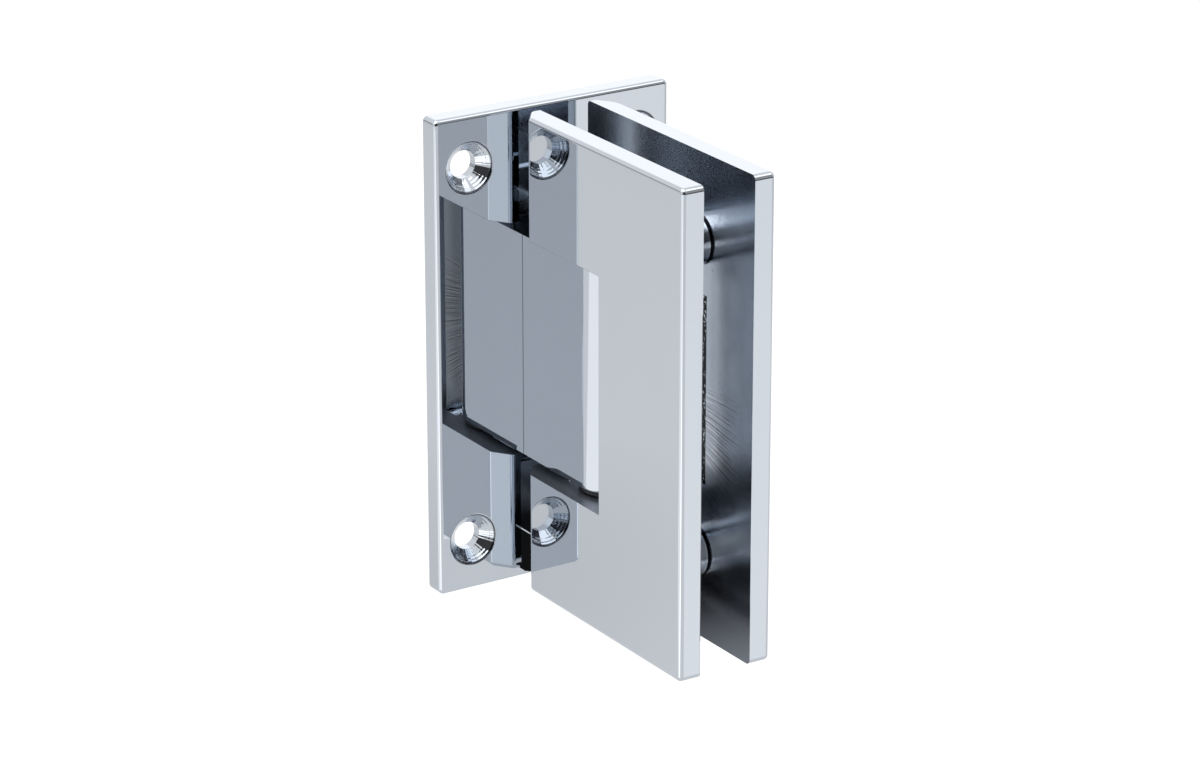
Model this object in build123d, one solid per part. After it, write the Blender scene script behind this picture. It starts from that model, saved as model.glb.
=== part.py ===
from build123d import *
import os
from math import sqrt

# Wall-mount shower hinge: a clamp for a glass door that swings on a block fixed to the wall.
# The origin is at the centre of the wall plate's back face. +Z is up, the wall is on the +Y side
# and the hinge stands out of it towards -Y. The front clamp plate is on the -X side. Millimetres.

# Wall plate
plate_width = 49.0
plate_height = 90.0
plate_thickness = 4.0
wall_hole_diameter = 5.2
wall_hole_sink_diameter = 9.7
wall_hole_side_margin = 7.0
wall_hole_end_margin = 9.6

# Pivot block and the axis that the door turns about
block_width = 13.2
block_height = 42.0
block_corner_radius = 3.5
pivot_reach = 19.9

# Clamp plates
clamp_height = 90.0
clamp_depth = 52.6
clamp_thickness = 4.25
clamp_wall_gap = 3.3
clamp_bevel_length = 3.6
clamp_bevel_width = 2.6
front_bevel_blend = 1.2
rear_bevel_blend = 5.0
glass_gap = 10.4
notch_depth = 26.5
notch_clearance = 1.25
marking_field_height = 35.0
marking_field_width = 8.0
marking_field_depth = 0.4
marking_field_setback = 14.3
marking_field_rise = 1.8

# Posts that the clamp screws run through
post_diameter = 9.2
post_end_margin = 16.0
post_setback = 17.2
rear_boss_height = 3.5

# Saddles that hold the pin's ends
saddle_length = 13.0
saddle_height = 6.8
saddle_split = 0.3
saddle_corner_radius = 1.2

# Pivot pin, bushes and washers
pin_diameter = 8.0
pin_end_setback = 0.4
cam_flat_distance = 3.4
cam_height = 23.0
end_flat_distance = 3.4
bush_outer_diameter = 10.0
bush_length = 7.5
washer_diameter = 12.4

# Spring-loaded followers in the block's cross bores
follower_diameter = 8.4
follower_spacing = 13.0
follower_length = 6.2
fork_overhang = 1.2
roller_diameter = 5.0
roller_height = 4.0
roller_pin_diameter = 2.0
spring_wire = 1.1
spring_diameter = 6.6
spring_coils = 3
spring_screw_length = 2.6

# Screws
block_screw_spacing = 31.6
block_screw_diameter = 5.0
block_screw_length = 14.0
clamp_screw_diameter = 5.0
clamp_screw_length = 16.0
set_screw_diameter = 4.0
screw_head_ratio = 1.92
socket_ratio = 0.6
socket_depth_ratio = 0.4

# Edges
edge_round = 0.8
corner_round = 1.0
small_edge = 0.3

# Clearances
running_clearance = 0.05
press_clearance = 0.02
thread_clearance = 0.05
slide_clearance = 0.1
end_play = 0.3
head_recess = 0.2
hole_end_clearance = 0.6

# How far a cutter runs past the face that it opens
cut_margin = 1.0

# Places that follow from the sizes above
plate_front = -plate_thickness
pivot_y = plate_front - pivot_reach
pivot_axis = Axis((0, pivot_y, 0), (0, 0, 1))
clamp_wall_edge = plate_front - clamp_wall_gap
clamp_glass_edge = clamp_wall_edge - clamp_depth
clamp_inner = glass_gap / 2
clamp_outer = clamp_inner + clamp_thickness
notch_half = block_height / 2 + notch_clearance
post_y = clamp_glass_edge + post_setback
post_z = clamp_height / 2 - post_end_margin
saddle_top = notch_half + saddle_height
set_screw_z = notch_half + saddle_height / 2
block_screw_z = block_screw_spacing / 2
follower_z = follower_spacing / 2
roller_y = pivot_y + pin_diameter / 2 + slide_clearance + roller_diameter / 2
follower_front = roller_y - fork_overhang
follower_back = follower_front + follower_length
spring_screw_back = plate_front - press_clearance
spring_screw_front = spring_screw_back - spring_screw_length
rear_boss_face = clamp_inner - rear_boss_height
sides = {"upper": 1, "lower": -1}


def rod(diameter, start, end, axis, at=(0, 0, 0)):
    """Round bar along one axis, from one coordinate to the other; `at` places its centre line."""
    length = abs(end - start)
    middle = (start + end) / 2
    bar = Cylinder(diameter / 2, length)
    if axis == "X":
        return Pos(middle, at[1], at[2]) * Rot(0, 90, 0) * bar
    if axis == "Y":
        return Pos(at[0], middle, at[2]) * Rot(90, 0, 0) * bar
    return Pos(at[0], at[1], middle) * bar


def sunk_profile(diameter, head_diameter, length):
    """Turned outline of a 90-degree countersunk head on its shank; the head's face is at Z = 0."""
    shank = diameter / 2
    head = head_diameter / 2
    outline = Polyline((0, 0), (head, 0), (shank, shank - head), (shank, -length), (0, -length), close=True)
    return revolve(Plane.XZ * make_face(outline), Axis.Z)


def hexagon_socket(diameter):
    """Hexagonal key socket sunk from Z = 0 into the end of a screw of this thread diameter."""
    depth = socket_depth_ratio * diameter
    key = RegularPolygon(socket_ratio * diameter / 2, 6, major_radius=False)
    return Pos(0, 0, -depth) * extrude(key, depth)


def countersunk_screw(diameter, length):
    """Countersunk screw with a hexagonal socket; its head's face is at Z = 0, its tip points down."""
    shank_diameter = diameter - 2 * thread_clearance
    screw = sunk_profile(shank_diameter, screw_head_ratio * diameter - 2 * thread_clearance, length)
    tip = screw.edges().filter_by(GeomType.CIRCLE).sort_by(Axis.Z)[0]
    return chamfer(tip, small_edge) - hexagon_socket(diameter)


def set_screw(diameter, length):
    """Headless screw with a hexagonal socket at Z = 0 and its tip at the bottom."""
    screw = Pos(0, 0, -length / 2) * Cylinder(diameter / 2, length)
    return chamfer(screw.edges().filter_by(GeomType.CIRCLE), small_edge) - hexagon_socket(diameter)


def rounded_plate(width, height, thickness):
    """Flat plate in XY with its face at Z = thickness; that face's edges are rounded, the rest is sharp."""
    plate = extrude(RectangleRounded(width, height, corner_round), thickness)
    face_edges = plate.faces().sort_by(Axis.Z)[-1].edges()
    return fillet(face_edges, min(edge_round, thickness / 3))


def make_wall_plate():
    """Back plate: four softly edged sunk holes from the front, two behind for the block's screws."""
    plate = Plane.XZ * rounded_plate(plate_width, plate_height, plate_thickness)
    across = plate_width / 2 - wall_hole_side_margin
    along = plate_height / 2 - wall_hole_end_margin
    sink = sunk_profile(wall_hole_diameter, wall_hole_sink_diameter, plate_thickness + cut_margin)
    for x in (-across, across):
        for z in (-along, along):
            plate -= Pos(x, plate_front, z) * Rot(90, 0, 0) * sink
    rims = plate.faces().sort_by(Axis.Y)[0].edges().filter_by(GeomType.CIRCLE)
    rims = rims.filter_by(lambda edge: edge.radius > wall_hole_diameter / 2)
    plate = fillet(rims, small_edge)
    head = screw_head_ratio * block_screw_diameter
    back_sink = sunk_profile(block_screw_diameter, head, plate_thickness + cut_margin)
    for z in (-block_screw_z, block_screw_z):
        plate -= Pos(0, -head_recess, z) * Rot(-90, 0, 0) * back_sink
        plate -= rod(head, -head_recess, cut_margin, "Y", (0, 0, z))
    return plate


def make_pivot_block():
    """Block with a rounded nose about the pivot axis, a vertical pin bore and two cross bores."""
    radius = block_width / 2
    straight = Pos(0, (plate_front + pivot_y) / 2) * Rectangle(block_width, pivot_reach)
    plan = straight + Pos(0, pivot_y) * Circle(radius)
    block = Pos(0, 0, -block_height / 2) * extrude(plan, block_height)
    nose = pivot_y - radius
    side_view = Pos(0, (plate_front + nose) / 2) * Rectangle(block_height, plate_front - nose)
    side_view = fillet(side_view.vertices().sort_by(Axis.Y)[:2], block_corner_radius)
    envelope = extrude(Plane.YZ * Rot(0, 0, -90) * side_view, block_width, both=True)
    block = block & envelope
    block -= rod(bush_outer_diameter, -block_height, block_height, "Z", (0, pivot_y, 0))
    bore = follower_diameter + 2 * slide_clearance
    wall_end = plate_front + cut_margin
    screw_end = -(block_screw_length + head_recess + hole_end_clearance)
    for side in sides.values():
        block -= rod(bore, wall_end, pivot_y, "Y", (0, 0, side * follower_z))
        block -= rod(block_screw_diameter, wall_end, screw_end, "Y", (0, 0, side * block_screw_z))
    return block


def clamp_blank(bevel_blend):
    """Clamp plate on the +X side: bevelled towards the wall, with its outer edges rounded all round."""
    land = (clamp_outer - clamp_bevel_width, clamp_wall_edge)
    shoulder = (clamp_outer, clamp_wall_edge - clamp_bevel_length)
    glass_side = [(clamp_outer, clamp_glass_edge), (clamp_inner, clamp_glass_edge)]
    plan = make_face(Polyline((clamp_inner, clamp_wall_edge), land, shoulder, *glass_side, close=True))
    plan = fillet(plan.vertices().sort_by_distance((*land, 0))[0], corner_round)
    plan = fillet(plan.vertices().sort_by_distance((*shoulder, 0))[0], bevel_blend)
    blank = Pos(0, 0, -clamp_height / 2) * extrude(plan, clamp_height)
    blank = fillet(blank.edges().filter_by(Axis.X).group_by(Axis.Y)[0], corner_round)
    # The seams of the two glass corners stay out, and so do the edges against the glass.
    end_edges = blank.faces().filter_by(Axis.Z).edges().sort_by(Axis.Y)[2:]
    end_edges = end_edges.filter_by(lambda edge: edge.center().X > clamp_inner + small_edge)
    glass_edges = blank.faces().sort_by(Axis.X)[-1].edges().sort_by(Axis.Y)[:3]
    return fillet(end_edges + glass_edges, min(edge_round, clamp_thickness / 3))


def notch_cutter():
    """Box that opens both clamp plates and their saddles towards the wall, around the block."""
    length = notch_depth + cut_margin
    centre = clamp_wall_edge - notch_depth + length / 2
    return Pos(0, centre, 0) * Box(3 * clamp_outer, length, 2 * notch_half)


def pin_saddle(side):
    """Boss on the +X plate beside the notch, with half of the groove that grips the pin's end."""
    width = clamp_inner - saddle_split / 2
    body = Box(width, saddle_length, saddle_height)
    body = fillet(body.edges().filter_by(Axis.X), saddle_corner_radius)
    body = Pos(width / 2 + saddle_split / 2, pivot_y, side * (notch_half + saddle_height / 2)) * body
    square_end = Pos(width / 2 + saddle_split / 2, pivot_y, side * (notch_half + saddle_height / 4))
    return body + square_end * Box(width, saddle_length, saddle_height / 2)


def pin_groove():
    """Cutter for the pin's ends in the saddles."""
    reach = saddle_top + cut_margin
    return rod(pin_diameter + 2 * press_clearance, -reach, reach, "Z", (0, pivot_y, 0))


def boss(start, end, side):
    """Round post between two X positions, its free end chamfered so that the joint shows as a line."""
    post = rod(post_diameter, start, end, "X", (0, post_y, side * post_z))
    free_end = post.edges().filter_by(GeomType.CIRCLE).sort_by(Axis.X)[0]
    return chamfer(free_end, small_edge)


def make_rear_clamp_plate():
    """Clamp plate on the +X side: short bosses, sunk screw holes, threaded holes onto the pin."""
    plate = clamp_blank(rear_bevel_blend)
    for side in sides.values():
        plate += pin_saddle(side)
        plate += boss(rear_boss_face, clamp_inner + small_edge, side)
    plate -= notch_cutter()
    plate -= pin_groove()
    field_y = clamp_glass_edge + marking_field_setback + marking_field_width / 2
    field_x = clamp_inner + marking_field_depth / 2
    plate -= Pos(field_x, field_y, marking_field_rise) * Box(
        marking_field_depth, marking_field_width, marking_field_height)
    head = screw_head_ratio * clamp_screw_diameter
    sink = sunk_profile(clamp_screw_diameter, head, clamp_screw_length)
    head_face = clamp_outer - head_recess
    outside = clamp_outer + cut_margin
    for side in sides.values():
        plate -= Pos(head_face, post_y, side * post_z) * Rot(0, 90, 0) * sink
        plate -= rod(head, head_face, outside, "X", (0, post_y, side * post_z))
        plate -= rod(set_screw_diameter, 0, outside, "X", (0, pivot_y, side * set_screw_z))
    return plate


def make_front_clamp_plate():
    """Clamp plate on the -X side: blank outer face, long bosses with blind threaded holes."""
    plate = clamp_blank(front_bevel_blend)
    screw_tip = clamp_screw_length + head_recess - clamp_outer
    for side in sides.values():
        plate += pin_saddle(side)
        plate += boss(-rear_boss_face, clamp_inner + small_edge, side)
    plate -= notch_cutter()
    plate -= pin_groove()
    for side in sides.values():
        depth = screw_tip + hole_end_clearance
        plate -= rod(clamp_screw_diameter, -clamp_inner, depth, "X", (0, post_y, side * post_z))
    return mirror(plate, Plane.YZ)


def make_pivot_pin():
    """Pin with four cam flats at mid height and one flat at each end for the set screws."""
    reach = saddle_top - pin_end_setback
    pin = rod(pin_diameter, -reach, reach, "Z", (0, pivot_y, 0))
    pin = chamfer(pin.edges().filter_by(GeomType.CIRCLE), small_edge)
    waste = pin_diameter - cam_flat_distance
    offset = cam_flat_distance + waste / 2
    for x, y in ((1, 0), (-1, 0), (0, 1), (0, -1)):
        width = waste if x else 2 * pin_diameter
        length = waste if y else 2 * pin_diameter
        pin -= Pos(x * offset, pivot_y + y * offset, 0) * Box(width, length, cam_height)
    end_height = saddle_top - notch_half
    end_waste = pin_diameter - end_flat_distance
    for side in sides.values():
        flat = Box(end_waste, 2 * pin_diameter, end_height)
        flat_z = side * (notch_half + end_height / 2)
        pin -= Pos(end_flat_distance + end_waste / 2, pivot_y, flat_z) * flat
    return pin


def make_bush(side):
    """Plain bush in one end of the block's bore."""
    end = side * block_height / 2
    diameter = bush_outer_diameter - 2 * press_clearance
    bore = pin_diameter + 2 * running_clearance
    outer = rod(diameter, end - side * bush_length, end, "Z", (0, pivot_y, 0))
    return outer - rod(bore, -block_height, block_height, "Z", (0, pivot_y, 0))


def make_thrust_washer(side):
    """Washer on one end of the block; the clamp's saddle runs past it with the end play."""
    end = side * block_height / 2
    thickness = notch_clearance - end_play
    disc = rod(washer_diameter, end, end + side * thickness, "Z", (0, pivot_y, 0))
    return disc - rod(pin_diameter + 2 * slide_clearance, -block_height, block_height, "Z", (0, pivot_y, 0))


def make_follower(side):
    """Plunger with a fork for its roller, sliding in a cross bore of the block."""
    z = side * follower_z
    body = rod(follower_diameter, follower_front, follower_back, "Y", (0, 0, z))
    slot_length = roller_y + roller_diameter / 2 + slide_clearance - follower_front + cut_margin
    slot_centre = follower_front - cut_margin + slot_length / 2
    slot = Box(2 * follower_diameter, slot_length, roller_height + 2 * slide_clearance)
    body -= Pos(0, slot_centre, z) * slot
    hole = roller_pin_diameter + 2 * press_clearance
    return body - rod(hole, z - follower_diameter, z + follower_diameter, "Z", (0, roller_y, 0))


def make_roller(side):
    """Roller that bears on the pin's flats."""
    low = side * follower_z - roller_height / 2
    tyre = rod(roller_diameter, low, low + roller_height, "Z", (0, roller_y, 0))
    bore = roller_pin_diameter + 2 * running_clearance
    return tyre - rod(bore, low - cut_margin, low + roller_height + cut_margin, "Z", (0, roller_y, 0))


def make_roller_pin(side):
    """Axle of a roller, across the plunger's fork and flush with its round side."""
    half = sqrt((follower_diameter / 2) ** 2 - (roller_pin_diameter / 2) ** 2)
    centre = side * follower_z
    return rod(roller_pin_diameter, centre - half, centre + half, "Z", (0, roller_y, 0))


def make_spring(side):
    """Coil spring of square wire between plunger and set screw, with both ends ground flat."""
    low = spring_screw_front
    high = follower_back
    length = low - high
    pitch = (length + spring_wire) / spring_coils
    start = (spring_diameter - spring_wire) / 2
    path = Helix(pitch, length + spring_wire, start)
    across_wire = Plane(path @ 0, x_dir=(1, 0, 0), z_dir=path % 0)
    wire = sweep(across_wire * Rectangle(spring_wire, spring_wire), path=path, is_frenet=True)
    wire = Pos(0, 0, -(length + spring_wire) / 2) * wire
    trimmed = wire & Box(2 * spring_diameter, 2 * spring_diameter, length)
    return Pos(0, (low + high) / 2, side * follower_z) * Rot(90, 0, 0) * trimmed


def make_spring_screw(side):
    """Set screw that closes a cross bore behind its spring."""
    screw = set_screw(follower_diameter, spring_screw_length)
    return Pos(0, spring_screw_back, side * follower_z) * Rot(-90, 0, 0) * screw


def make_block_screw(side):
    """Screw from behind the wall plate into the block."""
    screw = countersunk_screw(block_screw_diameter, block_screw_length)
    return Pos(0, -head_recess, side * block_screw_z) * Rot(-90, 0, 0) * screw


def make_clamp_screw(side):
    """Screw from the rear plate's outer face through both bosses into the front plate."""
    screw = countersunk_screw(clamp_screw_diameter, clamp_screw_length)
    return Pos(clamp_outer - head_recess, post_y, side * post_z) * Rot(0, 90, 0) * screw


def make_pin_set_screw(side):
    """Set screw through the rear plate's saddle, its tip on the flat at the pin's end."""
    length = clamp_outer - head_recess - end_flat_distance
    screw = set_screw(set_screw_diameter - 2 * thread_clearance, length)
    return Pos(clamp_outer - head_recess, pivot_y, side * set_screw_z) * Rot(0, 90, 0) * screw


single_pieces = {
    "wall_plate": make_wall_plate,
    "pivot_block": make_pivot_block,
    "pivot_pin": make_pivot_pin,
    "front_clamp_plate": make_front_clamp_plate,
    "rear_clamp_plate": make_rear_clamp_plate,
}
paired_pieces = {
    "block_screw": make_block_screw,
    "bush": make_bush,
    "thrust_washer": make_thrust_washer,
    "follower": make_follower,
    "roller": make_roller,
    "roller_pin": make_roller_pin,
    "spring": make_spring,
    "spring_screw": make_spring_screw,
    "clamp_screw": make_clamp_screw,
    "pin_set_screw": make_pin_set_screw,
}

os.makedirs("parts", exist_ok=True)
for name, make in single_pieces.items():
    export_step(make(), f"parts/{name}.step")
for name, make in paired_pieces.items():
    for place, side in sides.items():
        export_step(make(side), f"parts/{name}_{place}.step")
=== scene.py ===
import bmesh
import bpy
from math import cos, hypot, pi, radians, sin
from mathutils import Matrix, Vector


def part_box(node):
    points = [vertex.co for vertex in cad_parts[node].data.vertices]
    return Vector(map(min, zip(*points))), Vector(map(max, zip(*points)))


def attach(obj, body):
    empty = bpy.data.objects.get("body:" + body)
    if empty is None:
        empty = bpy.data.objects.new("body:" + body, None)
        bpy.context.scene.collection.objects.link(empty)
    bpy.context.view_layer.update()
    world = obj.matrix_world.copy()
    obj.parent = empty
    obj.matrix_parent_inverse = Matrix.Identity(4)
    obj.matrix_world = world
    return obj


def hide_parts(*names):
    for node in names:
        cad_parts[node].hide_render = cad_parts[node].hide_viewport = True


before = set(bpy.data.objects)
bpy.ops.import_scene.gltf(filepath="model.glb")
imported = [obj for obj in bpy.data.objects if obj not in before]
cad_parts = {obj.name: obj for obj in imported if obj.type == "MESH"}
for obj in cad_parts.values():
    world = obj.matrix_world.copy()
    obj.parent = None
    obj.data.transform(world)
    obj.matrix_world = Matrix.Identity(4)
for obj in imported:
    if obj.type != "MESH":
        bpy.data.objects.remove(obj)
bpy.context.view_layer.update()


# Wall plate. Brass, milled flat, polished to a mirror and chrome plated; the back that lies on the wall
# is only ground. Its four countersinks for the wall screws are turned, which leaves fine rings and
# chatter marks on the cones.
class Finish:
    """The node tree of one material; each call adds a node and gives back the socket it makes."""

    def __init__(self, name, metallic):
        self.material = bpy.data.materials.new(name)
        self.material.use_nodes = True
        self.tree = self.material.node_tree
        self.surface = self.tree.nodes["Principled BSDF"]
        self.surface.inputs["Metallic"].default_value = metallic
        self.place = self.add("ShaderNodeTexCoord", "Object")
        split = self.tree.nodes.new("ShaderNodeSeparateXYZ")
        self.tree.links.new(self.place, split.inputs[0])
        self.x, self.y, self.z = split.outputs

    def add(self, kind, output, inputs=None, **settings):
        node = self.tree.nodes.new(kind)
        for name, value in settings.items():
            setattr(node, name, value)
        for name, value in (inputs or {}).items():
            if isinstance(value, bpy.types.NodeSocket):
                self.tree.links.new(value, node.inputs[name])
            else:
                node.inputs[name].default_value = value
        return node.outputs[output]

    def math(self, operation, first, second=0.0):
        return self.add("ShaderNodeMath", 0, {0: first, 1: second}, operation=operation)

    def plus(self, first, second):
        return self.math("ADD", first, second)

    def minus(self, first, second):
        return self.math("SUBTRACT", first, second)

    def times(self, first, second):
        return self.math("MULTIPLY", first, second)

    def size(self, value):
        return self.math("ABSOLUTE", value)

    def radius(self, first, second):
        """Distance from the origin of two coordinates."""
        return self.math("SQRT", self.plus(self.times(first, first), self.times(second, second)))

    def noise(self, scale, detail=2.0, where=None):
        return self.add("ShaderNodeTexNoise", "Fac",
                        {"Vector": where or self.place, "Scale": scale, "Detail": detail})

    def streaks(self, detail, x, y, z):
        """Noise that is fine along an axis with a high number and drawn out along the others."""
        where = self.add("ShaderNodeVectorMath", 0, {0: self.place, 1: (x, y, z)}, operation="MULTIPLY")
        return self.noise(1.0, detail, where)

    def strokes(self, value, scale):
        """Noise along one number, so that it comes out as rays or bands."""
        return self.add("ShaderNodeTexNoise", "Fac", {"W": value, "Scale": scale, "Detail": 2.0},
                        noise_dimensions="1D")

    def spread(self, value, low, high, start=0.0, end=1.0):
        """The value's range from start to end, mapped to low to high and held there."""
        return self.add("ShaderNodeMapRange", "Result",
                        {"Value": value, "From Min": start, "From Max": end, "To Min": low, "To Max": high})

    def ramp(self, value, start, end):
        """0 up to the start, 1 past the end; the end may be the lower of the two."""
        return self.spread(value, 0.0, 1.0, start, end)

    def under(self, value, limit):
        return self.math("LESS_THAN", value, limit)

    def over(self, value, limit):
        return self.math("GREATER_THAN", value, limit)

    def between(self, value, start, end):
        return self.all_of(self.over(value, start), self.under(value, end))

    def all_of(self, first, *others):
        """The mask where each of these masks is 1."""
        for other in others:
            first = self.times(first, other)
        return first

    def any_of(self, first, *others):
        """The mask where at least one of these masks is 1."""
        for other in others:
            first = self.math("MAXIMUM", first, other)
        return first

    def either(self, mask, off, on):
        """A number that is off where the mask is 0 and on where it is 1."""
        return self.add("ShaderNodeMix", 0, {0: mask, 2: off, 3: on}, data_type="FLOAT")

    def tints(self, mask, off, on):
        """A colour that is off where the mask is 0 and on where it is 1."""
        off = off if isinstance(off, bpy.types.NodeSocket) else (*off, 1.0)
        on = on if isinstance(on, bpy.types.NodeSocket) else (*on, 1.0)
        return self.add("ShaderNodeMix", 2, {0: mask, 6: off, 7: on}, data_type="RGBA")

    def colour(self, socket):
        self.tree.links.new(socket, self.surface.inputs["Base Color"])

    def gloss(self, socket):
        self.tree.links.new(socket, self.surface.inputs["Roughness"])

    def relief(self, height, depth):
        """Bump as deep as given, in metres, where the height runs from 0 to 1."""
        normal = self.add("ShaderNodeBump", "Normal", {"Height": height, "Strength": 1.0, "Distance": depth})
        self.tree.links.new(normal, self.surface.inputs["Normal"])

    def wear(self, *names):
        """Puts the material on these nodes."""
        for name in names:
            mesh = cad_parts[name].data
            mesh.materials.clear()
            mesh.materials.append(self.material)


def tinted(colour, factor):
    return tuple(channel * factor for channel in colour)


chrome = (0.563, 0.602, 0.652)
chrome_relief = 0.0001


def mirror_polish(finish):
    """Colour, roughness and height of polished chrome: barely hazy, and not quite flat."""
    haze = finish.noise(45.0, 3.0)
    colour = finish.tints(haze, tinted(chrome, 0.985), tinted(chrome, 1.015))
    shine = finish.spread(haze, 0.006, 0.02)
    wave = finish.times(finish.noise(70.0, 0.0), 0.04)
    return colour, shine, wave


low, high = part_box("wall_plate")
plate_front = low[1]
plate_back = high[1]
hole_x = 0.0175
hole_z = 0.0354
sink_radius = 0.0048
dark_rim_width = 0.00024
cone_foot, cone_top = 0.0032, 0.0042
tool_ring = 0.0005
# A skin is the small margin between the edge of a mask and the face that it goes by.
sink_skin, back_skin = 0.00004, 0.00005

plate_chrome = Finish("wall_plate_chrome", 1.0)
polished, shine, wave = mirror_polish(plate_chrome)
from_hole_x = plate_chrome.minus(plate_chrome.size(plate_chrome.x), hole_x)
from_hole_z = plate_chrome.minus(plate_chrome.size(plate_chrome.z), hole_z)
from_hole = plate_chrome.radius(from_hole_x, from_hole_z)
in_sink = plate_chrome.all_of(plate_chrome.under(from_hole, sink_radius),
                              plate_chrome.over(plate_chrome.y, plate_front + sink_skin))
# Painted reflection: a thin dark ring just inside each countersink's rim, tinted over the polished colour
# below.
painted_dark_rim = plate_chrome.all_of(plate_chrome.over(from_hole, sink_radius - dark_rim_width), in_sink)
on_back = plate_chrome.over(plate_chrome.y, plate_back - back_skin)
lapping = plate_chrome.streaks(4.0, 60.0, 60.0, 2600.0)
ground = plate_chrome.tints(lapping, (0.36, 0.37, 0.39), (0.47, 0.48, 0.50))
polished = plate_chrome.tints(painted_dark_rim, polished, (0.10, 0.11, 0.13))
plate_chrome.colour(plate_chrome.tints(on_back, polished, ground))
shine = plate_chrome.either(in_sink, shine, plate_chrome.spread(plate_chrome.noise(900.0), 0.02, 0.07))
plate_chrome.gloss(plate_chrome.either(on_back, shine, plate_chrome.spread(lapping, 0.28, 0.5)))
rings = plate_chrome.math("SINE", plate_chrome.times(from_hole, 2 * pi / tool_ring))
ring_height = plate_chrome.spread(from_hole, 0.01, 0.13, start=cone_foot, end=cone_top)
round_hole = plate_chrome.math("ARCTAN2", from_hole_z, from_hole_x)
chatter = plate_chrome.strokes(plate_chrome.times(round_hole, 3.0), 1.0)
turned = plate_chrome.plus(plate_chrome.times(rings, ring_height), plate_chrome.times(chatter, 1.2))
height = plate_chrome.either(in_sink, wave, turned)
height = plate_chrome.either(on_back, height, plate_chrome.times(lapping, 0.06))
plate_chrome.relief(height, chrome_relief)
plate_chrome.wear("wall_plate")


# Block screws. Stainless countersunk socket screws, driven from behind the wall plate into the block;
# the head is turned and the shank has a rolled thread.
def threaded_steel(name, bright, along, first, second, pitch, thread_start, thread_end):
    """Turned screw steel, with a rolled thread between two places along the screw's own axis.

    First and second are the two other axes, each with the screw's place on it. The second is
    mirrored, so that one material serves an upper and a lower screw.
    """
    steel = Finish(name, 1.0)
    axes = {"x": steel.x, "y": steel.y, "z": steel.z}
    reach = axes[along]
    side = steel.minus(steel.size(axes[second[0]]), second[1])
    across = steel.minus(axes[first[0]], first[1])
    turn = steel.math("DIVIDE", steel.math("ARCTAN2", side, across), 2 * pi)
    wind = steel.minus(steel.math("DIVIDE", reach, pitch), turn)
    ridge = steel.math("PINGPONG", wind, 0.5)
    on_thread = steel.between(reach, thread_start, thread_end)
    lathe_ring = 0.00012
    lathe = steel.math("SINE", steel.times(steel.radius(across, side), 2 * pi / lathe_ring))
    stain = steel.noise(600.0, 3.0)
    steel.colour(steel.tints(stain, tinted(bright, 0.93), tinted(bright, 1.05)))
    steel.gloss(steel.spread(stain, 0.14, 0.26))
    thread_depth = 0.0006
    steel.relief(steel.either(on_thread, steel.times(lathe, 0.01), ridge), thread_depth)
    return steel


steel_grey = (0.60, 0.61, 0.63)
screw_head = 0.0026
screw_pitch = 0.0008
low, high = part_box("block_screw_upper")
block_screw_z = (low[2] + high[2]) / 2
block_steel = threaded_steel("block_screw_steel", steel_grey, "y", ("x", 0.0), ("z", block_screw_z),
                             screw_pitch, low[1], high[1] - screw_head)
block_steel.wear("block_screw_upper", "block_screw_lower")


# Pivot block. Brass, milled with a rounded nose about the pin, then polished and chrome plated like the
# plate that it stands on; the bores through it keep the drill's and the reamer's finish.
low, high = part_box("pivot_block")
nose_radius = high[0]
pivot_y = low[1] + nose_radius
block_top = high[2]
bore_radius = 0.00508
cross_bore_half = 0.0045
foot_line = 0.00014
end_skin, nose_skin = 0.0005, 0.0006

block_chrome = Finish("pivot_block_chrome", 1.0)
polished, shine, wave = mirror_polish(block_chrome)
from_pin = block_chrome.radius(block_chrome.x, block_chrome.minus(block_chrome.y, pivot_y))
in_bore = block_chrome.under(from_pin, bore_radius)
in_block = block_chrome.all_of(
    block_chrome.under(block_chrome.size(block_chrome.x), cross_bore_half),
    block_chrome.under(block_chrome.size(block_chrome.z), block_top - end_skin))
behind_nose = block_chrome.any_of(block_chrome.over(block_chrome.y, pivot_y),
                                  block_chrome.under(from_pin, nose_radius - nose_skin))
bored = block_chrome.any_of(in_bore, block_chrome.all_of(in_block, behind_nose))
reamed = block_chrome.streaks(3.0, 300.0, 300.0, 5000.0)
brass = block_chrome.tints(reamed, (0.50, 0.38, 0.19), (0.62, 0.48, 0.26))
at_foot = block_chrome.over(block_chrome.y, plate_front - foot_line)
polished = block_chrome.tints(at_foot, polished, (0.2, 0.21, 0.24))
block_chrome.colour(block_chrome.tints(bored, polished, brass))
block_chrome.gloss(block_chrome.either(bored, shine, block_chrome.spread(reamed, 0.2, 0.4)))
block_chrome.relief(block_chrome.either(bored, wave, block_chrome.times(reamed, 0.05)), chrome_relief)
block_chrome.wear("pivot_block")


# Bushes. Turned brass, pressed into both ends of the block's bore; the pin turns in them, so their
# faces show the fine rings of the lathe tool.
def turned_metal(name, bright, along, centre, ring, smoothest, roughest, mirrored=False):
    """Lathe-turned metal: fine rings along its axis, or round it on the faces, and a patchy shine."""
    metal = Finish(name, 1.0)
    axes = {"x": metal.x, "y": metal.y, "z": metal.z}
    reach = axes[along]
    if mirrored:
        axes["z"] = metal.size(metal.z)
    others = [metal.minus(axes[key], start) for key, start in zip("xyz", centre) if key != along]
    rings = metal.math("SINE", metal.times(metal.plus(reach, metal.radius(*others)), 2 * pi / ring))
    patch = metal.noise(500.0, 4.0)
    metal.colour(metal.tints(patch, tinted(bright, 0.9), tinted(bright, 1.08)))
    metal.gloss(metal.spread(patch, smoothest, roughest))
    metal.relief(metal.plus(metal.times(rings, 0.5), metal.times(patch, 0.6)), 0.000004)
    return metal


bush_metal = turned_metal("bush_brass", (0.66, 0.49, 0.24), "z", (0.0, pivot_y, 0.0), 0.00018, 0.16, 0.34)
bush_metal.wear("bush_upper", "bush_lower")


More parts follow.
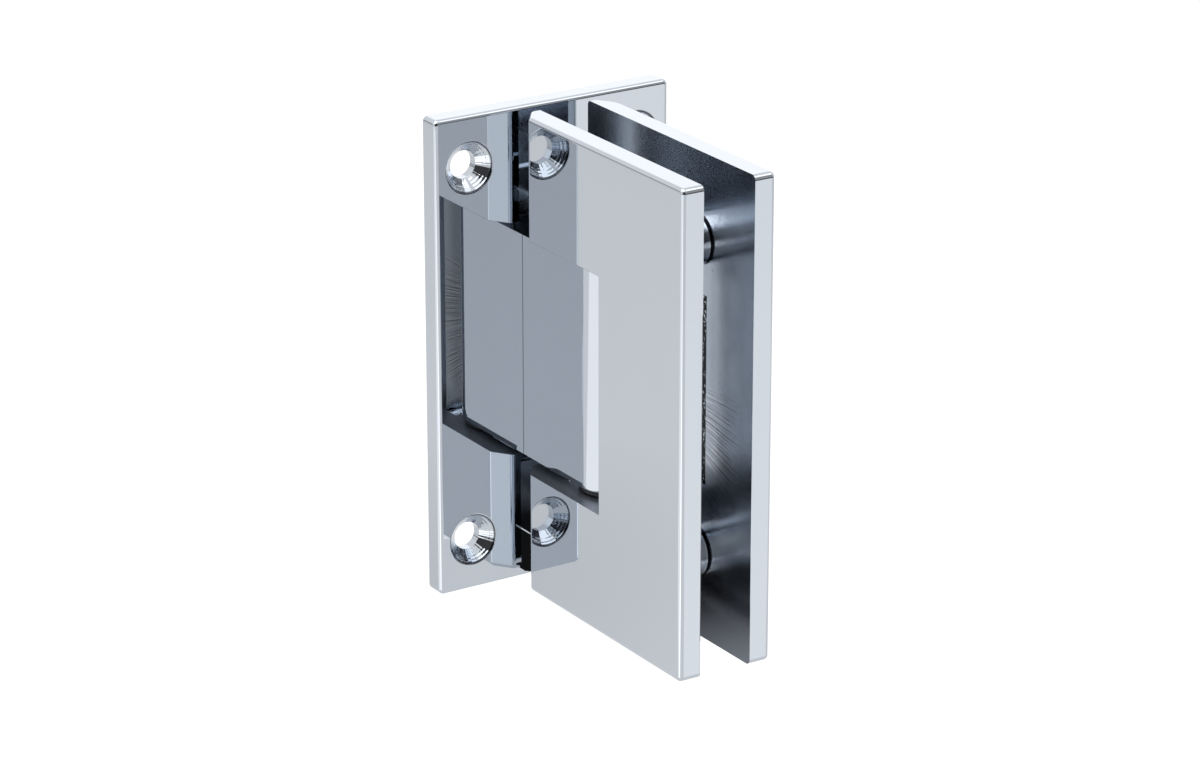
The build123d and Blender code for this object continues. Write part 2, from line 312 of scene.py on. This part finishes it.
# Plungers and rollers. Hardened steel, ground to slide in the block's two cross bores; each fork carries
# a roller on a pin, and its spring presses the roller on to the flats of the pivot pin.
low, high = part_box("follower_upper")
follower_z = (low[2] + high[2]) / 2
low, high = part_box("roller_pin_upper")
roller_y = (low[1] + high[1]) / 2
plunger_steel = turned_metal("plunger_steel", (0.46, 0.46, 0.48), "y", (0.0, 0.0, follower_z),
                             0.00025, 0.18, 0.34, mirrored=True)
plunger_steel.wear("follower_upper", "follower_lower")
roller_steel = turned_metal("roller_steel", (0.58, 0.58, 0.60), "z", (0.0, roller_y, 0.0),
                            0.00012, 0.06, 0.16)
roller_steel.wear("roller_upper", "roller_lower", "roller_pin_upper", "roller_pin_lower")


# Springs and their screws. Blued spring steel, coiled and with ground ends, held in by a black-oxide
# set screw behind each one.
spring_steel = Finish("spring_steel", 1.0)
bloom = spring_steel.noise(350.0, 3.0)
spring_steel.colour(spring_steel.tints(bloom, (0.16, 0.17, 0.21), (0.30, 0.31, 0.35)))
spring_steel.gloss(spring_steel.spread(bloom, 0.22, 0.4))
spring_steel.relief(spring_steel.noise(2500.0), 0.000006)
spring_steel.wear("spring_upper", "spring_lower")
low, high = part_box("spring_screw_upper")
screw_chamfer = 0.0003
screw_steel = threaded_steel("spring_screw_steel", (0.30, 0.30, 0.32), "y", ("x", 0.0), ("z", follower_z),
                             0.001, low[1] + screw_chamfer, high[1] - screw_chamfer)
screw_steel.wear("spring_screw_upper", "spring_screw_lower")


# Pivot pin. Hardened and ground steel: four flats at mid height for the rollers, and one at each end
# for the set screws that turn it with the clamp.
pin_steel = Finish("pivot_pin_steel", 1.0)
grain = pin_steel.streaks(4.0, 400.0, 400.0, 9000.0)
pin_steel.colour(pin_steel.tints(grain, (0.50, 0.50, 0.52), (0.62, 0.62, 0.64)))
pin_steel.gloss(pin_steel.spread(grain, 0.12, 0.28))
pin_steel.relief(grain, 0.000004)
pin_steel.wear("pivot_pin")


# Washers. Dark moulded acetal between the block's ends and the clamp's saddles, so that chrome never
# runs on chrome.
acetal = Finish("washer_acetal", 0.0)
mottle = acetal.noise(700.0, 4.0)
acetal.colour(acetal.tints(mottle, (0.018, 0.019, 0.021), (0.035, 0.036, 0.040)))
acetal.gloss(acetal.spread(mottle, 0.38, 0.55))
acetal.relief(acetal.noise(5000.0), 0.000012)
acetal.wear("thrust_washer_upper", "thrust_washer_lower")


# Clamp plates. Cast brass with pin saddles on the glass side; the posts stand on the front plate and end
# on the rear one. The outer faces and the edges are polished to a mirror. The glass side and the notch
# only get thin chrome over a satin ground, so they stay darker, with grain, pits and a few scratches; on
# the glass side, painted shade darkens it below the lower post and painted light brightens it between the
# posts.
glass_face = 0.0052
notch_bottom = -0.0338
notch_half = 0.02225
post_y = -0.0427
post_z = 0.029
post_radius = 0.0046
post_joint = glass_face
cast_joint = 0.0017
joint_line = 0.00044
joint_highlight_edge = 0.00075
field_start, field_end = -0.04565, -0.03755
field_half = 0.0195
field_depth = 0.0005
skin, post_skin, floor_skin = 0.00006, 0.00008, 0.00002


def scratches(plate):
    """Masks of the light and of the dark strokes, which fan out below mid height near the free end."""
    fan_y, fan_z = -0.016, 0.001
    fan = plate.math("ARCTAN2", plate.minus(plate.z, fan_z), plate.minus(fan_y, plate.y))
    stroke = plate.strokes(fan, 130.0)
    patch = plate.spread(plate.noise(170.0, 1.0), 0.25, 1.0, start=0.38, end=0.52)
    above_post = plate.ramp(plate.z, -0.024, -0.018)
    below_middle = plate.ramp(plate.z, 0.004, 0.0)
    short_of_end = plate.ramp(plate.y, -0.0560, -0.0525)
    past_field = plate.ramp(plate.y, -0.0436, -0.0462)
    reach = plate.all_of(above_post, below_middle, patch, short_of_end, past_field)
    light = plate.all_of(plate.ramp(stroke, 0.56, 0.60), reach)
    dark = plate.all_of(plate.spread(stroke, 0.9, 0.0, start=0.41, end=0.45), reach)
    return light, dark


def satin_chrome(plate, cloud, in_notch, on_post):
    """Colour of the thin chrome on the glass side, the notch and the posts, with painted shade and light."""
    colour = plate.tints(cloud, (0.49, 0.535, 0.60), (0.61, 0.66, 0.73))
    colour = plate.tints(in_notch, colour, (0.36, 0.39, 0.44))
    post_colour = plate.tints(cloud, (0.56, 0.59, 0.63), (0.72, 0.75, 0.79))
    colour = plate.tints(on_post, colour, post_colour)
    pits = plate.over(plate.noise(1700.0, 1.0), 0.76)
    colour = plate.tints(plate.times(pits, 0.8), colour, (0.02, 0.022, 0.03))
    # Painted shade: the face darkens below the lower post.
    painted_shade_below_post = plate.spread(plate.z, 0.75, 0.0, start=-0.0345, end=-0.0325)
    colour = plate.tints(painted_shade_below_post, colour, (0.15, 0.17, 0.21))
    # Painted light: a lighter patch between the posts, towards the plates' free end.
    below_upper_post = plate.spread(plate.z, 0.0, 0.9, start=0.026, end=0.022)
    above_lower_post = plate.ramp(plate.z, -0.027, -0.024)
    past_field = plate.ramp(plate.y, -0.0475, -0.0505)
    short_of_end = plate.ramp(plate.y, -0.0570, -0.0535)
    lower_half = plate.spread(plate.z, 0.15, 1.0, start=-0.010, end=-0.016)
    painted_light_between_posts = plate.all_of(below_upper_post, above_lower_post, past_field,
                         plate.any_of(lower_half, short_of_end))
    colour = plate.tints(painted_light_between_posts, colour, (0.88, 0.935, 1.0))
    light, dark = scratches(plate)
    colour = plate.tints(light, colour, (0.97, 0.98, 1.0))
    return plate.tints(dark, colour, (0.16, 0.17, 0.2))


def clamp_chrome(name, side):
    """Clamp plate finish; side is -1 for the front plate and 1 for the rear one."""
    plate = Finish(name, 1.0)
    polished, shine, wave = mirror_polish(plate)
    deep = plate.times(plate.x, side)
    up = plate.size(plate.z)

    inner = plate.under(deep, glass_face + skin)
    in_notch = plate.all_of(plate.under(up, notch_half + skin), plate.over(plate.y, notch_bottom - skin))
    in_field = plate.all_of(plate.under(deep, glass_face + field_depth), plate.under(up, field_half),
                            plate.between(plate.y, field_start, field_end))
    field_floor = plate.all_of(in_field, plate.over(deep, glass_face + floor_skin))
    dull = plate.any_of(inner, in_notch, in_field)
    from_post = plate.radius(plate.minus(plate.y, post_y), plate.minus(up, post_z))
    on_post = plate.all_of(plate.under(from_post, post_radius + post_skin),
                           plate.under(deep, glass_face - skin))
    in_joint = plate.all_of(on_post, plate.over(plate.x, post_joint - joint_line))
    joint_highlight = plate.all_of(on_post, plate.over(plate.x, post_joint - joint_highlight_edge))

    cloud = plate.noise(120.0, 5.0)
    satin = satin_chrome(plate, cloud, in_notch, on_post)
    # Painted highlight: a light band along the post's end, just short of the dark joint.
    satin = plate.tints(joint_highlight, satin, (0.80, 0.83, 0.87))
    satin = plate.tints(in_joint, satin, (0.03, 0.032, 0.04))
    # The field's floor is near black, with painted glints: light specks scattered over it.
    painted_glints = plate.over(plate.noise(2200.0, 1.0), 0.63)
    black_floor_and_glints = plate.tints(painted_glints, (0.012, 0.013, 0.016), (0.55, 0.58, 0.63))
    satin = plate.tints(field_floor, satin, black_floor_and_glints)
    plate.colour(plate.tints(dull, polished, satin))

    rubbed = plate.spread(cloud, 0.17, 0.25, start=0.3, end=0.7)
    rubbed = plate.either(on_post, rubbed, plate.spread(cloud, 0.06, 0.13))
    rubbed = plate.either(in_notch, rubbed, 0.40)
    plate.gloss(plate.either(dull, shine, rubbed))

    grain = plate.plus(plate.times(plate.noise(3200.0), 0.03), plate.times(plate.noise(500.0), 0.04))
    grain = plate.either(on_post, grain, plate.times(plate.noise(1500.0, 3.0), 0.42))
    plate.relief(plate.either(dull, wave, grain), chrome_relief)
    return plate


def fitted_plate(name, node, finish):
    """The plate with its posts' joint moved out of the gap, to the rear plate's glass face.

    Only the post ends move. Points on the posts that lie on one another are joined, and the corner
    normals of the solid are set again, except on the flat ends.
    """
    finish.wear(node)
    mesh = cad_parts[node].data.copy()
    facing = [[mesh.corner_normals[corner].vector.copy() for corner in face.loop_indices]
              for face in mesh.polygons]
    same_place = 0.000002
    end_depth = 0.0005
    outline = post_radius + 0.0001
    shape = bmesh.new()
    shape.from_mesh(mesh)
    cast_face = shape.faces.layers.int.new("cast_face")
    for face in shape.faces:
        face[cast_face] = face.index
    posts = [corner for corner in shape.verts
             if hypot(corner.co.y - post_y, abs(corner.co.z) - post_z) < outline]
    for corner in posts:
        if abs(corner.co.x - cast_joint) < end_depth:
            corner.co.x = min(corner.co.x + post_joint - cast_joint, post_joint)
    bmesh.ops.remove_doubles(shape, verts=posts, dist=same_place)
    shape.to_mesh(mesh)
    shape.free()
    source = [face.value for face in mesh.attributes["cast_face"].data]
    mesh.attributes.remove(mesh.attributes["cast_face"])
    normals = []
    for face in mesh.polygons:
        on_end = all(abs(mesh.vertices[corner].co.x - post_joint) < same_place for corner in face.vertices)
        normals += [face.normal] * len(face.vertices) if on_end else facing[source[face.index]]
    mesh.normals_split_custom_set(normals)
    made = bpy.data.objects.new(name, mesh)
    bpy.context.scene.collection.objects.link(made)
    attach(made, "door_side")
    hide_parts(node)


fitted_plate("front_plate_and_posts", "front_clamp_plate", clamp_chrome("front_clamp_chrome", -1.0))
fitted_plate("rear_plate", "rear_clamp_plate", clamp_chrome("rear_clamp_chrome", 1.0))


# Clamp screws and pin set screws. Stainless socket screws from the rear: two pull the plates together on
# the glass, and two stand on the flats of the pin.
low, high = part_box("clamp_screw_upper")
clamp_steel = threaded_steel("clamp_screw_steel", steel_grey, "x", ("y", post_y), ("z", post_z),
                             screw_pitch, low[0], high[0] - screw_head)
clamp_steel.wear("clamp_screw_upper", "clamp_screw_lower")
low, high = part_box("pin_set_screw_upper")
set_screw_z = (low[2] + high[2]) / 2
set_steel = threaded_steel("pin_set_screw_steel", steel_grey, "x", ("y", pivot_y), ("z", set_screw_z),
                           0.0007, low[0] + screw_chamfer, high[0] - screw_chamfer)
set_steel.wear("pin_set_screw_upper", "pin_set_screw_lower")


# Table. A wide white board 15 cm below the hinge. It glows white to the camera and grey to the chrome,
# with a painted shadow as a darker glow on the patch that the clamp's lower corner mirrors, and takes
# the lamps' light as paint does.
def sheet(name, place, towards, width, height, material):
    """Flat rectangle centred at a place, its face turned towards a point; part of the studio."""
    mesh = bpy.data.meshes.new(name)
    w, h = width / 2, height / 2
    mesh.from_pydata([(-w, -h, 0), (w, -h, 0), (w, h, 0), (-w, h, 0)], [], [(0, 1, 2, 3)])
    mesh.materials.append(material)
    made = bpy.data.objects.new(name, mesh)
    bpy.context.scene.collection.objects.link(made)
    made.location = place
    made.rotation_mode = "QUATERNION"
    made.rotation_quaternion = (Vector(towards) - Vector(place)).to_track_quat("Z", "Y")
    return made


def join(tree, operation, first, second):
    """Math node on two sockets or numbers."""
    node = tree.nodes.new("ShaderNodeMath")
    node.operation = operation
    for place, value in enumerate((first, second)):
        if isinstance(value, bpy.types.NodeSocket):
            tree.links.new(value, node.inputs[place])
        else:
            node.inputs[place].default_value = value
    return node.outputs[0]


def seen(tree, camera_share, mirror_share):
    """Strength for camera rays, and another for mirror and glass rays; 0 for light on the object."""
    path = tree.nodes.new("ShaderNodeLightPath")
    mirrored = join(tree, "MAXIMUM", path.outputs["Is Glossy Ray"], path.outputs["Is Transmission Ray"])
    return join(tree, "ADD", join(tree, "MULTIPLY", path.outputs["Is Camera Ray"], camera_share),
                join(tree, "MULTIPLY", mirrored, mirror_share))


def faded(tree, value, start, end, low, high):
    """The value's range from start to end, mapped to low to high and held there."""
    fade = tree.nodes.new("ShaderNodeMapRange")
    fade.inputs["From Min"].default_value, fade.inputs["From Max"].default_value = start, end
    fade.inputs["To Min"].default_value, fade.inputs["To Max"].default_value = low, high
    tree.links.new(value, fade.inputs["Value"])
    return fade.outputs[0]


table_z = -0.15
table_side = 12.0
painted_shadow_spot = (-0.10, 0.24, table_z)
table_paint = bpy.data.materials.new("table_paint")
table_paint.use_nodes = True
tree = table_paint.node_tree
tree.nodes.clear()
paint = tree.nodes.new("ShaderNodeBsdfDiffuse")
paint.inputs["Color"].default_value = (0.8, 0.8, 0.8, 1)
glow = tree.nodes.new("ShaderNodeEmission")
where = tree.nodes.new("ShaderNodeNewGeometry")
from_spot = tree.nodes.new("ShaderNodeVectorMath")
from_spot.operation = "DISTANCE"
from_spot.inputs[1].default_value = painted_shadow_spot
tree.links.new(where.outputs["Position"], from_spot.inputs[0])
# Painted shadow: the glow that the chrome sees is lower round the spot.
mirror_glow = faded(tree, from_spot.outputs["Value"], start=0.05, end=0.12, low=0.17, high=0.30)
tree.links.new(seen(tree, 0.56, mirror_glow), glow.inputs["Strength"])
both = tree.nodes.new("ShaderNodeAddShader")
out = tree.nodes.new("ShaderNodeOutputMaterial")
tree.links.new(paint.outputs[0], both.inputs[0])
tree.links.new(glow.outputs[0], both.inputs[1])
tree.links.new(both.outputs[0], out.inputs["Surface"])
sheet("table", (0, 0, table_z), (0, 0, 1), table_side, table_side, table_paint)


# Studio. White all round, with soft lamps above, behind and at the front right, and three just above the
# table that face up, which the bevels and the end faces mirror. The cards are boards from near black to
# grey that only the chrome sees. Two small ones in the plates' gap are painted shade: a grey one at its
# mouth, and one under the slot for the shadow under the hinge, lighter towards the mouth.
world = bpy.data.worlds.new("studio")
bpy.context.scene.world = world
world.use_nodes = True
tree = world.node_tree
back = tree.nodes["Background"]
back.inputs["Color"].default_value = (1, 1, 1, 1)
tree.links.new(join(tree, "ADD", seen(tree, 0.5, 0.5), 0.5), back.inputs["Strength"])


def softbox(name, place, towards, width, height, radiance):
    lamp = bpy.data.lights.new(name, "AREA")
    lamp.shape = "RECTANGLE"
    lamp.size, lamp.size_y = width, height
    lamp.energy = radiance * pi * width * height
    made = bpy.data.objects.new(name, lamp)
    bpy.context.scene.collection.objects.link(made)
    made.location = place
    made.rotation_mode = "QUATERNION"
    made.rotation_quaternion = (Vector(towards) - Vector(place)).to_track_quat("-Z", "Y")
    made.visible_camera = False


hinge = (0, 0, 0)
softbox("lamp_above", (-0.35, -0.02, 0.75), (0, 0, table_z), width=0.9, height=0.9, radiance=1.2)
softbox("lamp_behind", (0.6, 0.95, 0.42), hinge, width=1.0, height=0.7, radiance=0.42)
softbox("lamp_low_left", (-0.455, -0.07, -0.147), (-0.455, -0.06, 1),
        width=0.45, height=0.50, radiance=0.35)
softbox("lamp_low_right", (0.259, -0.4325, -0.147), (0.259, -0.4225, 1),
        width=0.302, height=0.375, radiance=0.28)
softbox("lamp_corner", (-0.365, -0.235, -0.146), (-0.3735, -0.2402, 1),
        width=0.09, height=0.42, radiance=0.9)
softbox("lamp_front_right", (0.45, -0.31, 0.71), hinge, width=0.32, height=0.32, radiance=0.9)


def card(name, place, towards, width, height, shade):
    """Card that only the chrome sees; its shade runs from 0, black, to 1, white."""
    paint = bpy.data.materials.new(name)
    paint.use_nodes = True
    tree = paint.node_tree
    tree.nodes.clear()
    glow = tree.nodes.new("ShaderNodeEmission")
    glow.inputs["Strength"].default_value = shade
    out = tree.nodes.new("ShaderNodeOutputMaterial")
    tree.links.new(glow.outputs[0], out.inputs["Surface"])
    made = sheet(name, place, towards, width, height, paint)
    made.visible_camera = False
    made.visible_diffuse = False
    made.visible_shadow = False
    return tree, glow


card("card_front_left", (-0.75, -1.15, 0.48), hinge, width=2.2, height=1.24, shade=0.06)
card("card_front_right", (0.60, -1.00, 0.48), hinge, width=1.6, height=0.9, shade=0.42)
card("card_low_right", (0.60, -1.00, -0.01), hinge, width=1.4, height=0.24, shade=0.10)
card("card_back_left", (-0.90, 1.20, 0.16), hinge, width=1.2, height=0.30, shade=0.40)
# Painted shade: a grey card at the gap's mouth, which darkens what the glass side mirrors there.
mouth_y, mouth_z = -0.0601, -0.008
card("painted_shade_card_at_mouth", (0, mouth_y, mouth_z), (0, 0, mouth_z),
     width=2 * glass_face, height=0.060, shade=0.27)
# Painted shadow: a card under the slot, dark at the wall end and lighter towards the mouth.
foot_y, foot_z = -0.0316, -0.0452
tree, glow = card("painted_shadow_card_under_slot", (0, foot_y, foot_z), (0, foot_y, 1),
                  width=0.0102, height=0.0546, shade=0.0)
where = tree.nodes.new("ShaderNodeNewGeometry")
split = tree.nodes.new("ShaderNodeSeparateXYZ")
tree.links.new(where.outputs["Position"], split.inputs[0])
brighter = faded(tree, split.outputs["Y"], start=-0.030, end=-0.059, low=0.01, high=0.62)
tree.links.new(brighter, glow.inputs["Strength"])


# Camera. The photograph's angle and lens, from a fit of a perspective camera to the hinge's edges; it
# aims a little to the right of the middle of the plate's back, and below it.
camera_azimuth, camera_elevation = radians(-32.602), radians(20.266)
camera_distance = 0.818241
aim_right, aim_up = 0.010476, -0.008684
backward = Vector((sin(camera_azimuth) * cos(camera_elevation),
                   -cos(camera_azimuth) * cos(camera_elevation), sin(camera_elevation)))
across = Vector((cos(camera_azimuth), sin(camera_azimuth), 0))
upward = backward.cross(across)
aim = across * aim_right + upward * aim_up
camera_data = bpy.data.cameras.new("camera")
camera_data.lens = 135.03
camera_data.sensor_width = 36.0
camera_data.clip_start, camera_data.clip_end = 0.05, 50
camera = bpy.data.objects.new("camera", camera_data)
bpy.context.scene.collection.objects.link(camera)
camera.location = aim + backward * camera_distance
camera.rotation_mode = "QUATERNION"
camera.rotation_quaternion = (-backward).to_track_quat("-Z", "Y")
bpy.context.scene.camera = camera
bpy.context.scene.view_settings.view_transform = "Standard"
